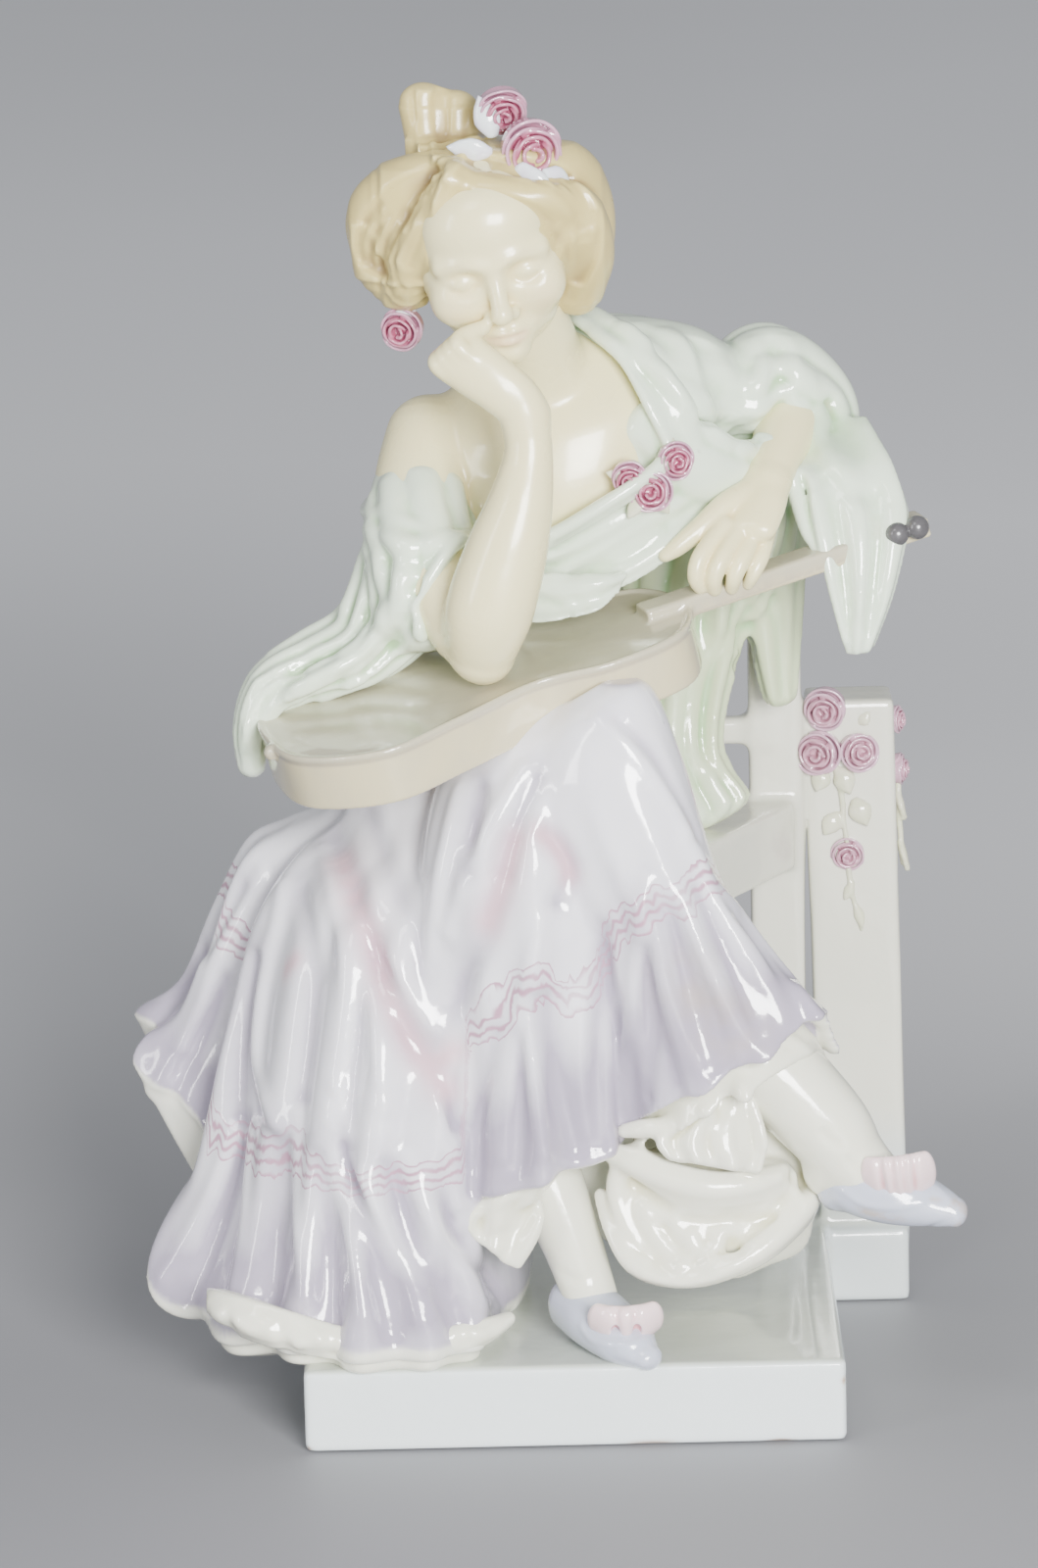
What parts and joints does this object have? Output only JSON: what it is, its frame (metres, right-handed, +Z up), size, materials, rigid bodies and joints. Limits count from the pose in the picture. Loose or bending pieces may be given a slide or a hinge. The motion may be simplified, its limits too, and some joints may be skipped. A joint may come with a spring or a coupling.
{
  "type": "faience figurine",
  "caption": "Glazed faience figurine of a seated lady with crossed legs, leaning on a flat guitar, with a garden bench, a rose pillar and a plinth.",
  "frame": {"origin": "on the plinth's flat underside, at the middle of its main block", "axes": "+Z up through the figure, +X to the viewer's right, -Y towards the viewer"},
  "size_m": [0.2282, 0.1548, 0.3649],
  "materials": {
    "white_glaze": "clear high-gloss glaze over white faience",
    "flesh_glaze": "cream high-gloss glaze",
    "hair_glaze": "pale straw high-gloss glaze",
    "guitar_glaze": "beige high-gloss glaze",
    "rose_glaze": "pink high-gloss glaze, thin on the petals' edges",
    "shoe_glaze": "pale blue-grey high-gloss glaze",
    "grey_glaze": "dark grey high-gloss glaze"
  },
  "bodies": {
    "root": {"seated_lady_with_guitar": "white_glaze"}
  },
  "joints": []
}
